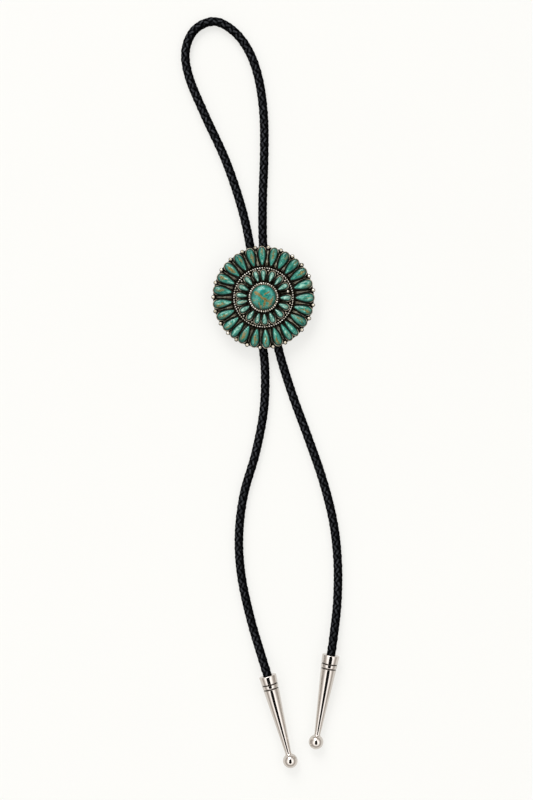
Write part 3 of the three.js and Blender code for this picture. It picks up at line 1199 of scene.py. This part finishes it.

# %% [markdown]
# ## Finish: turquoise
#
# Turquoise is a copper mineral that grows as veins in brown rock. A cut stone shows a
# blue-green body with soft clouds, paler flecks, and a brown or golden vein of the rock,
# called the matrix, with dark hairlines beside it. Light and shade are painted on too: the
# paler flecks gather along each drop's ridge as a painted highlight, the sloping sides and
# the round end darken as painted shade, and a thin dark rim all round is a painted shadow
# where the stone meets its bezel. Two stored marks let one material serve a whole row of
# stones: where a point is on its stone, and where that stone's vein runs.


# %% Turquoise
def turquoise(name, deep, body, pale, gloss=0.12):
    material, graph, place = new_material(name)
    spot = graph.add("ShaderNodeAttribute", {"attribute_name": "stone_place"})["Vector"]
    on_stone = graph.split(spot)
    vein_spot = graph.add("ShaderNodeAttribute", {"attribute_name": "stone_vein"})["Vector"]
    vein = graph.split(vein_spot)
    run, aside, tone = on_stone["X"], on_stone["Y"], on_stone["Z"]

    own_pattern = vein["X"] * 31 + vein["Y"] * 17 + tone * 23
    grain_place = graph.joined(aside * 2.4, run * 5.5, own_pattern)
    streak = noise(graph, grain_place, 1.5, 4.0, 0.62)
    fleck = noise(graph, place, 0.9 * MM, 4.0, 0.62)
    fine = noise(graph, place, 0.35 * MM, 3.0, 0.6)
    depth = streak * 0.6 + fleck * 0.4 + tone * 0.1
    green = mix(graph, depth.step(0.32, 0.56), deep, body)
    # Painted highlight: the pale flecks are pushed towards the ridge of the drop.
    flecks_and_ridge_highlight = depth + (fine - 0.5) * 0.2 + (0.4 - abs(aside)) * 0.2
    flecked_and_highlit = mix(graph, flecks_and_ridge_highlight.step(0.52, 0.68) * 0.85, green, pale)

    off_side = (aside - vein["Z"] + (streak - 0.5) * 2.6) / 0.36
    off_end = (run - vein["Y"]) / 0.34
    near = 1 - (off_side * off_side + off_end * off_end)
    broken = near * 0.4 + fleck * 0.9 + fine * 0.7
    halo = mix(graph, broken.step(0.62, 0.95) * vein["X"] * 0.8, flecked_and_highlit, (0.050, 0.075, 0.026))
    rock = mix(graph, fine.step(0.36, 0.60), (0.050, 0.030, 0.008), (0.33, 0.235, 0.070))
    in_vein = broken.step(0.88, 1.08) * vein["X"]
    veined = mix(graph, in_vein, halo, rock)
    hairline = 1 - abs(noise(graph, place, 1.7 * MM, 5.0, 0.65) - 0.5).step(0.004, 0.026)
    lined = mix(graph, hairline * 0.35, veined, (0.045, 0.040, 0.018))
    # Painted shade on the sloping sides and the round end.
    side = abs(aside).step(0.25, 0.95).larger(run.step(0.74, 0.97))
    shaded = mix(graph, side * 0.72, lined, (0.003, 0.040, 0.030))
    # Painted shadow: a thin dark rim all round, where the stone meets its bezel.
    edge = abs(aside).step(0.76, 0.98).larger(run.step(0.05, 0.0)).larger(run.step(0.93, 0.99))
    colour = mix(graph, edge * 0.94, shaded, (0.001, 0.004, 0.003))
    finish_material(
        graph,
        Base_Color=colour,
        Roughness=gloss + 0.2 * in_vein + 0.08 * fleck,
        Specular_IOR_Level=0.34,
        Normal=bump(graph, streak * 0.5 + fleck * 0.5, 0.10 * MM, 0.4),
    )
    return material


# %% [markdown]
# ## The drop stones
#
# A drop stone is cut with a rounded back: straight up to the girdle, where the bezel grips
# it, and then an arched crown that runs along the stone and falls away at both ends. Each
# section across the stone is half an ellipse on two straight sides. The marks for its
# material are stored on the same points.


# %% Drop stones
def stone_marks(mesh, places, veins):
    """Stores (share along, share across, tone) and (strength, along, aside) on the points."""
    for name, values in (("stone_place", places), ("stone_vein", veins)):
        store_on_points(mesh, name, [x for value in values for x in value], "FLOAT_VECTOR")


def drop_stone(name, row, stone):
    """One stone as a mesh, from its turn, width, vein and tone."""
    turn, width, strength, vein_along, vein_aside, tone = stone
    length = row["end"] - row["start"]
    bottom = PLATE_TOP + GAP
    girdle = PLATE_TOP + row["girdle"]
    sections = 26
    arch = 12
    shape = bmesh.new()
    loops = []
    places = []
    for i in range(sections + 1):
        share = 0.5 - 0.5 * math.cos(math.pi * (0.02 + 0.975 * i / sections))
        half = width * drop_half_width(share)
        y = row["start"] + length * share
        swell = (2 * drop_half_width(share)) ** 0.7
        crown = row["crown"] * swell * min(1, 0.5 + 0.8 * share)
        loop = [(-half, y, bottom, -1)]
        for k in range(arch + 1):
            angle = math.pi * k / arch
            x = -half * math.cos(angle)
            loop.append((x, y, girdle + crown * math.sin(angle), -math.cos(angle)))
        loop.append((half, y, bottom, 1))
        loops.append([shape.verts.new(turned_point(x, yy, z, turn)) for x, yy, z, _ in loop])
        places += [(share, aside, tone) for *_, aside in loop]
    skin(shape, loops)
    close_ends(shape, loops)
    mesh = smooth_mesh(shape, name)
    stone_marks(mesh, places, [(strength, vein_along, vein_aside)] * len(places))
    return mesh


outer_turquoise = turquoise(
    "outer_turquoise", (0.003, 0.095, 0.073), (0.026, 0.255, 0.190), (0.37, 0.66, 0.54)
)
inner_turquoise = turquoise(
    "inner_turquoise", (0.012, 0.105, 0.083), (0.080, 0.290, 0.228), (0.46, 0.68, 0.58)
)
for row_name, row, stones, finish in (
    ("outer", OUTER_ROW, OUTER_STONES, outer_turquoise),
    ("inner", INNER_ROW, INNER_STONES, inner_turquoise),
):
    for number, stone in enumerate(stones, 1):
        stone_piece = keep(f"{row_name}_turquoise_{number:02d}", drop_stone("drop", row, stone))
        dress(stone_piece, finish, 50)
        settle(stone_piece, "turquoise", f"{row_name}_stone_{number:02d}")

# %% [markdown]
# ## The middle stone
#
# The round stone is a low dome. It is bluer than the drops, with brown veins that wander
# right across it, so it has a material of its own. Its rim is darkened with painted shade.


# %% Middle stone
# from point, to point, half width, all in millimetres from the stone's middle
VEINS = [
    ((-4.6, 2.8), (-2.9, 1.2), 0.85),
    ((-2.4, 1.2), (0.2, -0.9), 0.60),
    ((0.2, -0.9), (2.9, -2.4), 0.55),
    ((2.9, -2.4), (4.3, -3.8), 0.70),
    ((3.0, 3.2), (0.8, 1.6), 0.45),
    ((5.8, 0.2), (4.7, -2.6), 0.55),
    ((1.2, -2.0), (0.2, -5.0), 0.55),
    ((-2.9, -3.5), (-1.9, -6.0), 0.30),
]


def along_line(graph, place, start, end):
    """The distance from a place to a straight line between two points."""
    first, last = Vector((*start, 0)) * MM, Vector((*end, 0)) * MM
    line = last - first
    away = graph.vector("SUBTRACT", place, tuple(first))
    share = graph.vector("DOT_PRODUCT", away, tuple(line / line.length_squared))
    kept = share.larger(0.0).smaller(1.0)
    foot = graph.vector("SCALE", tuple(line), scale=kept)
    return graph.vector("LENGTH", graph.vector("SUBTRACT", away, foot))


def centre_finish():
    material, graph, place = new_material("centre_turquoise")
    cloud = noise(graph, place, 4.0 * MM, 4.0, 0.6)
    patch = noise(graph, place, 1.8 * MM, 4.0, 0.6)
    fine = noise(graph, place, 0.5 * MM, 4.0, 0.6)
    green = mix(graph, cloud.step(0.36, 0.60), (0.003, 0.100, 0.076), (0.022, 0.225, 0.170))
    blue = mix(graph, patch.step(0.50, 0.62) * 0.8, green, (0.009, 0.265, 0.248))
    pale = mix(graph, (cloud * 0.4 + fine * 0.6).step(0.54, 0.68) * 0.6, blue, (0.26, 0.46, 0.36))

    flat = graph.vector("MULTIPLY", place, (1.0, 1.0, 0.0))
    warp_noise = {"Vector": place, "Scale": 1 / (1.6 * MM), "Detail": 3.0}
    warp = graph.add("ShaderNodeTexNoise", {}, warp_noise)["Color"]
    centred = graph.vector("SUBTRACT", warp, (0.5, 0.5, 0.5))
    bent = graph.vector("ADD", flat, graph.vector("SCALE", centred, scale=2.6 * MM))
    bent_flat = graph.vector("MULTIPLY", bent, (1.0, 1.0, 0.0))
    vein = 0.0
    for start, end, half_width in VEINS:
        distance = along_line(graph, bent_flat, start, end)
        inside = (distance / (half_width * MM)).step(1.35, 0.6)
        vein = inside.larger(vein)
    vein = vein * (patch * 0.5 + fine * 0.7).step(0.38, 0.54)
    low_side = graph.split(place)["Y"].step(0.0, -2.0 * MM)
    crumbs = (fine * 0.35 + patch * 0.65).step(0.535, 0.570) * low_side * 0.9
    vein = vein.larger(crumbs)
    rock = mix(graph, fine.step(0.38, 0.60), (0.055, 0.030, 0.006), (0.29, 0.178, 0.036))
    # Painted shade: the stone darkens towards the rim of its dome.
    rim_shade = graph.vector("LENGTH", flat).step(5.9 * MM, 7.4 * MM)
    colour = mix(graph, vein * 0.92, pale, rock)
    shaded = mix(graph, rim_shade * 0.6, colour, (0.004, 0.030, 0.024))
    finish_material(
        graph,
        Base_Color=shaded,
        Roughness=0.12 + 0.15 * vein + 0.05 * fine,
        Specular_IOR_Level=0.4,
        Normal=bump(graph, patch * (1 - vein), 0.08 * MM, 0.3),
    )
    return material


def turned_mesh(profile, sides, name):
    """A shape turned about +Z from (radius, height) points that start and end on the axis."""
    shape = bmesh.new()
    loops = []
    angles = [2 * math.pi * i / sides for i in range(sides)]
    for radius, height in profile[1:-1]:
        ring = [(radius * math.cos(angle), radius * math.sin(angle), height) for angle in angles]
        loops.append([shape.verts.new(point) for point in ring])
    skin(shape, loops)
    fan(shape, loops[0], (0, 0, profile[0][1]))
    fan(shape, loops[-1], (0, 0, profile[-1][1]))
    return finished_mesh(shape, name)


def dome_profile():
    """The middle stone: straight to the girdle and then a low arch."""
    bottom = PLATE_TOP + GAP
    girdle = PLATE_TOP + 1.9
    arch = 2.5
    points = [(0, bottom), (CENTRE_RADIUS, bottom), (CENTRE_RADIUS, girdle)]
    for degrees in range(8, 89, 8):
        angle = math.radians(degrees)
        points.append((CENTRE_RADIUS * math.cos(angle), girdle + arch * math.sin(angle)))
    points.append((0, girdle + arch))
    return [(r * MM, z * MM) for r, z in points]


centre_stone = keep("centre_turquoise", turned_mesh(dome_profile(), 72, "dome"))
dress(centre_stone, centre_finish(), 60)
settle(centre_stone, "turquoise", "centre_stone")

# %% [markdown]
# ## The tips
#
# The tips are turned on a lathe and nickel plated: a cap with two cut grooves, a long cone
# and a ball. The end of the cord is glued into the cap. The profile below is drawn along the
# axis, from the bottom of the cord's hole, out of the mouth and down the outside.


# %% Tips
TIP_PLACES = {
    "left": ((2.4, -226.1, 5.2), (16.1, -277.4, 4.4)),
    "right": ((40.4, -213.8, 5.2), (31.5, -265.9, 4.4)),
}
BALL_RADIUS = 4.4
BALL_AT = 53.0
GROOVES = (5.4, 8.2)
GROOVE_DEPTH = 0.55
CONE = {"start": 16.0, "length": 32.4, "radius": 4.15, "narrowing": 2.4, "steps": 13}


def groove(at, radius):
    """A rounded cut across the profile."""
    half = [(0.42, 0), (0.3, 0.12), (0.12, GROOVE_DEPTH)]
    before = [(radius - cut, at - away) for away, cut in half]
    after = [(radius - cut, at + away) for away, cut in reversed(half)]
    return before + after


def tip_profile():
    points = [(0, 11.5), (2.85, 11.5), (2.85, 0.5), (3.0, 0.15), (3.25, 0)]
    points += [(4.7, 0), (4.98, 0.08), (5.14, 0.25), (5.2, 0.5), (5.1, 2.0), (4.98, 3.6)]
    points += groove(GROOVES[0], 4.88)
    points += [(4.84, 6.2), (4.82, 6.7), (4.76, 7.3)]
    points += groove(GROOVES[1], 4.7)
    points += [(4.62, 9.0), (CONE["radius"], CONE["start"])]
    for step in range(1, CONE["steps"] + 1):
        share = step / CONE["steps"]
        radius = CONE["radius"] - CONE["narrowing"] * share
        points.append((radius, CONE["start"] + CONE["length"] * share))
    for degrees in range(-62, 89, 10):
        angle = math.radians(degrees)
        points.append((BALL_RADIUS * math.cos(angle), BALL_AT + BALL_RADIUS * math.sin(angle)))
    points.append((0, BALL_AT + BALL_RADIUS))
    return [(r * MM, z * MM) for r, z in points]


def polished_nickel():
    """Plating: mirror bright with faint polishing marks, and darkened and rougher at the bottom of
    the grooves.
    """
    material, graph, place = new_material("polished_nickel")
    cloud = noise(graph, place, 9 * MM, 3.0, 0.5)
    fine = noise(graph, place, 0.25 * MM, 2.0, 0.6)
    groove_dark = mark(graph, "groove")
    colour = mix(graph, cloud, (0.585, 0.535, 0.49), (0.655, 0.61, 0.57))
    darkened = mix(graph, groove_dark, colour, (0.03, 0.022, 0.016))
    finish_material(
        graph,
        Base_Color=darkened,
        Metallic=1.0,
        Roughness=0.06 + 0.03 * cloud + 0.03 * fine + 0.35 * groove_dark,
    )
    return material


def groove_mark(place):
    """1 at the bottom of a groove and 0 outside, for a place beside the tip's own axis."""
    from_groove = min(abs(place.z / MM - at) for at in GROOVES)
    outside = place.xy.length / MM > 4
    return max(0.0, min(1.0, 1.5 - from_groove / 0.3)) if outside else 0.0


nickel = polished_nickel()
for side, (mouth, ball) in TIP_PLACES.items():
    mesh = turned_mesh(tip_profile(), 112, f"tip_{side}")
    along = (Vector(ball) - Vector(mouth)).normalized()
    turn = Vector((0, 0, 1)).rotation_difference(along).to_matrix().to_4x4()
    seat = Matrix.Translation(Vector(mouth) * MM) @ turn
    store_by_place(mesh, "groove", groove_mark)
    mesh.transform(seat)
    tip = keep(f"{side}_tip", mesh)
    dress(tip, nickel, 38)
    settle(tip, "plated_metal", f"tip_{side}")

# %% [markdown]
# ## The clip
#
# Behind the setting a plain plated block holds the two runs of the cord side by side, each
# in a tunnel of its own. It is drawn as a flat outline with two holes, given thickness and a
# small rounded edge, and then laid on its side and turned with the cord.


# %% Clip
CLIP = {"length": 20.0, "half": 7.9, "height": 7.0, "corner": 2.2, "spacing": 8.4, "tunnel": 2.9}
CLIP_TURN = 7
CLIP_EDGE = 0.25


def arc_points(x, y, radius, start, sweep, steps):
    """Points along an arc, from one angle in degrees over a sweep."""
    angles = [math.radians(start + sweep * step / steps) for step in range(steps + 1)]
    return [Vector((x + radius * math.cos(a), y + radius * math.sin(a), 0)) * MM for a in angles]


def rounded_rectangle(half, low, high, corner):
    """An outline with round corners."""
    right, left, upper, lower = half - corner, corner - half, high - corner, low + corner
    middles = [(right, upper), (left, upper), (left, lower), (right, lower)]
    points = []
    for quarter, (x, y) in enumerate(middles):
        points += arc_points(x, y, corner, 90 * quarter, 90, 8)
    return points


def clip_mesh():
    curve = bpy.data.curves.new("clip", "CURVE")
    curve.dimensions = "2D"
    curve.fill_mode = "BOTH"
    curve.extrude = (CLIP["length"] / 2 - CLIP_EDGE) * MM
    curve.bevel_depth = CLIP_EDGE * MM
    curve.bevel_resolution = 2
    low, high = CLIP_EDGE, CLIP["height"] - CLIP_EDGE
    outlines = [rounded_rectangle(CLIP["half"] - CLIP_EDGE, low, high, CLIP["corner"])]
    for side in (-1, 1):
        middle = side * CLIP["spacing"] / 2
        radius = CLIP["tunnel"] + CLIP_EDGE
        tunnel = arc_points(middle, CLIP["height"] / 2, radius, 0, 360, 40)
        outlines.append(tunnel[:-1])
    add_closed_lines(curve, outlines)
    mesh = evaluated_mesh(place_object("clip_outline", curve))
    stood = Matrix.Rotation(math.radians(90), 4, "X")
    mesh.transform(Matrix.Rotation(math.radians(CLIP_TURN), 4, "Z") @ stood)
    shape = bmesh.new()
    shape.from_mesh(mesh)
    bpy.data.meshes.remove(mesh)
    return finished_mesh(shape, "clip")


def brushed_nickel():
    """Plating rubbed lengthways with fine abrasive."""
    material, graph, place = new_material("brushed_nickel")
    parts = graph.split(place)
    drawn_out = graph.joined(parts["X"] * 9, parts["Y"] * 0.4, parts["Z"] * 9)
    streak = noise(graph, drawn_out, 1.2 * MM, 3.0, 0.6)
    cloud = noise(graph, place, 5 * MM, 3.0, 0.5)
    colour = mix(graph, streak * 0.6 + cloud * 0.4, (0.50, 0.47, 0.44), (0.74, 0.71, 0.67))
    finish_material(
        graph,
        Base_Color=colour,
        Metallic=1.0,
        Roughness=0.24 + 0.2 * streak,
        Normal=bump(graph, streak, 0.02 * MM, 0.4),
    )
    return material


clip = keep("clip_body", clip_mesh())
dress(clip, brushed_nickel(), 40)
settle(clip, "plated_metal", "clip")

# %% [markdown]
# ## The table and the light
#
# The tie lies on a white table under a soft tent of light. The tent is the world itself: a
# wide bright ring high up, warmer and dimmer towards the horizon, and a dark patch straight
# above where the camera stands. Polished metal needs that dark patch: without something
# dark to reflect it would look like white paint. The patch is an upright oval, and a little
# wider on the near side. A large soft lamp beyond the neck loop adds the highlights on the
# stones and the faint shadow on the near side.


# %% Table, tent and lamp
# The table glows faintly: painted light that lifts the shadows on it.
def table_finish():
    material, graph, place = new_material("white_table")
    cloud = noise(graph, place, 60 * MM, 2.0, 0.5)
    colour = mix(graph, cloud, (0.198, 0.197, 0.191), (0.204, 0.203, 0.197))
    # Painted light: the glow is a little stronger on the near side, to even out the lamp's fall-off.
    near_side_fill = graph.split(place)["Y"].step(0.20, -0.32)
    glow = mix(graph, near_side_fill, (0.965, 0.962, 0.934), (1.0, 0.997, 0.968))
    finish_material(
        graph,
        Base_Color=colour,
        Roughness=0.85,
        Specular_IOR_Level=0.1,
        Emission_Color=glow,
        Emission_Strength=0.72,
    )
    return material


TABLE_HALF = 6.0
corners = [(x * TABLE_HALF, y * TABLE_HALF, 0) for x, y in ((-1, -1), (1, -1), (1, 1), (-1, 1))]
table_mesh = bpy.data.meshes.new("table")
table_mesh.from_pydata(corners, [], [(0, 1, 2, 3)])
table = place_object("table", table_mesh)
table_mesh.materials.append(table_finish())
table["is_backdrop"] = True

CLOTH_LIGHT = (1.95, 1.95, 1.95)
HORIZON_LIGHT = (0.60, 0.57, 0.54)
LOW_CLOTH_LIGHT = (0.50, 0.465, 0.43)
PATCH_DARK = (0.01, 0.01, 0.01)
PATCH = {"half_width": 0.34, "half_length": 0.64, "near_widening": 0.12}

world = bpy.data.worlds.new("tent")
bpy.context.scene.world = world
world.use_nodes = True
tent = Graph(world.node_tree)
direction = tent.add("ShaderNodeTexCoord")["Generated"]
toward = tent.split(direction)
cloth = toward["Z"].step(0.30, 0.92)
near_side = toward["Y"].step(-0.18, -0.30) * toward["Y"].step(-0.60, -0.42)
half_width = PATCH["half_width"] + PATCH["near_widening"] * near_side
across, up = toward["X"] / half_width, toward["Y"] / PATCH["half_length"]
patch = (across**2 + up**2).step(1.1, 0.9)
low_light = mix(tent, toward["Z"].step(0.0, 0.5), HORIZON_LIGHT, LOW_CLOTH_LIGHT)
tent_light = mix(tent, cloth, low_light, CLOTH_LIGHT)
patched_light = mix(tent, patch, tent_light, PATCH_DARK)
sky = tent.add("ShaderNodeBackground", {}, {"Color": patched_light, "Strength": 1.0})
tent.add("ShaderNodeOutputWorld", {}, {"Surface": sky})

LAMP_PLACE = Vector((-0.65, 2.10, 1.85))
lamp_data = bpy.data.lights.new("far_lamp", "AREA")
lamp_data.shape = "SQUARE"
lamp_data.size = 1.6
lamp_data.energy = 62
lamp = place_object("far_lamp", lamp_data)
lamp.location = LAMP_PLACE
lamp.rotation_euler = (-LAMP_PLACE).to_track_quat("-Z", "Y").to_euler()

bpy.context.scene.view_settings.view_transform = "Standard"
print("one table, one tent of light and one lamp")

# %% [markdown]
#
# The box round the finished pieces is printed beside the box round the imported solids.

new_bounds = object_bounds()
sizes = {
    "cad": [list(corner) for corner in cad_bounds],
    "visual": [list(corner) for corner in new_bounds],
}
print("sizes:", sizes)
